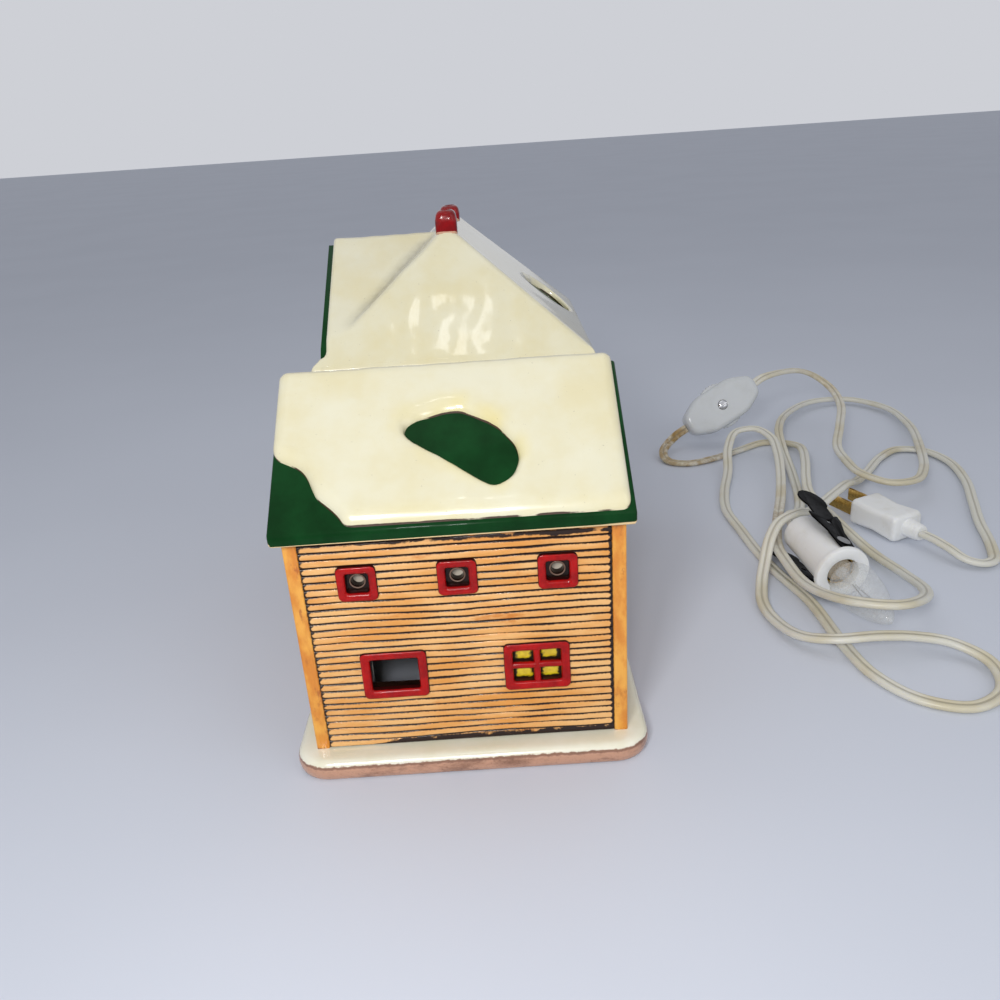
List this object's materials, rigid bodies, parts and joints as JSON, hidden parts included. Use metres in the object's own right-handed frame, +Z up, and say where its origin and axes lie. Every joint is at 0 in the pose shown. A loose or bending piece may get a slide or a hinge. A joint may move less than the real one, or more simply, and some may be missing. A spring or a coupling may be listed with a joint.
{
  "type": "lighted village house",
  "caption": "Glazed ceramic village house with snowy roofs, hollow and open below, and a round back hole for a clip-in cord lamp with in-line switch and plug.",
  "frame": {"origin": "centre of the underside of the base slab", "axes": "+Z up; +Y from the near wall of the low wing toward the far gable; +X toward the back wall with the light hole, where the lamp lead lies"},
  "size_m": [0.3365, 0.3511, 0.1656],
  "materials": {
    "snow_glaze": "gloss",
    "siding_glaze": "gloss with a brown wash in the grooves",
    "trim_glaze": "gloss",
    "roof_glaze": "high gloss",
    "chimney_glaze": "high gloss",
    "frame_glaze": "high gloss",
    "pane_glaze": "gloss",
    "knob_glaze": "gloss",
    "white_plastic": "moulded",
    "cord_plastic": "limp and slightly yellowed",
    "brass_contacts": "stamped",
    "steel_rivet": "satin",
    "chrome_screw": "polished",
    "black_clip": "satin",
    "bulb_glass": "clear"
  },
  "bodies": {
    "house_and_lead": {"base_slab": "snow_glaze", "wing_snow": "snow_glaze", "main_snow": "snow_glaze", "door_step": "snow_glaze", "near_wall": "siding_glaze", "wing_left_wall": "siding_glaze", "wing_right_wall": "siding_glaze", "main_left_wall": "siding_glaze", "main_right_wall": "siding_glaze", "far_wall": "siding_glaze", "main_near_wall": "siding_glaze", "corner_board_near_left": "trim_glaze", "corner_board_near_right": "trim_glaze", "corner_board_far_left": "trim_glaze", "corner_board_far_right": "trim_glaze", "wing_roof": "roof_glaze", "main_roof": "roof_glaze", "door_leaf": "roof_glaze", "chimney_near": "chimney_glaze", "chimney_far": "chimney_glaze", "near_attic_frame_1": "frame_glaze", "near_attic_frame_2": "frame_glaze", "near_attic_frame_3": "frame_glaze", "wingLeft_attic_frame_1": "frame_glaze", "wingRight_attic_frame_1": "frame_glaze", "front_attic_frame_1": "frame_glaze", "front_attic_frame_2": "frame_glaze", "near_paned_frame_1": "frame_glaze", "wingLeft_paned_frame_1": "frame_glaze", "front_paned_frame_1": "frame_glaze", "front_paned_frame_2": "frame_glaze", "far_paned_frame_1": "frame_glaze", "far_paned_frame_2": "frame_glaze", "near_open_frame": "frame_glaze", "door_frame": "frame_glaze", "near_panes_1": "pane_glaze", "wingLeft_panes_1": "pane_glaze", "front_panes_1": "pane_glaze", "front_panes_2": "pane_glaze", "far_panes_1": "pane_glaze", "far_panes_2": "pane_glaze", "door_knob": "knob_glaze", "socket_shell": "white_plastic", "switch_cover": "white_plastic", "switch_base": "white_plastic", "plug_body": "white_plastic", "lamp_cord": "cord_plastic", "supply_cord": "cord_plastic", "socket_screw_shell": "brass_contacts", "socket_centre_contact": "brass_contacts", "plug_blade_left": "brass_contacts", "plug_blade_right": "brass_contacts", "clip_rivet_upper": "steel_rivet", "clip_rivet_lower": "steel_rivet", "switch_screw": "chrome_screw"},
    "bulb": {"bulb_base": "brass_contacts", "bulb_glass": "bulb_glass"},
    "upper_clip": {"clip_upper": "black_clip"},
    "lower_clip": {"clip_lower": "black_clip"},
    "switch_wheel": {"switch_thumbwheel": "white_plastic"}
  },
  "joints": [
    {"name": "bulb_turn", "type": "hinge", "parent": "house_and_lead", "child": "bulb", "pos_m": [0.1501, 0.0265, 0.0166], "axis": [0.1594, -0.9842, -0.0767], "range_deg": [0, 1080]},
    {"name": "upper_clip_press", "type": "hinge", "parent": "house_and_lead", "child": "upper_clip", "pos_m": [0.15821, -0.0007, 0.02398], "axis": [0.9172, 0.1764, -0.3573], "range_deg": [-6, 0], "stiffness_Nm_per_rad": 0.5},
    {"name": "lower_clip_press", "type": "hinge", "parent": "house_and_lead", "child": "lower_clip", "pos_m": [0.15076, -0.00043, 0.005], "axis": [-0.9172, -0.1764, 0.3573], "range_deg": [-6, 0], "stiffness_Nm_per_rad": 0.5},
    {"name": "switch_wheel_turn", "type": "hinge", "parent": "house_and_lead", "child": "switch_wheel", "pos_m": [0.154, 0.191, 0.024], "axis": [0, -0.9155, 0.4024], "continuous": true}
  ]
}
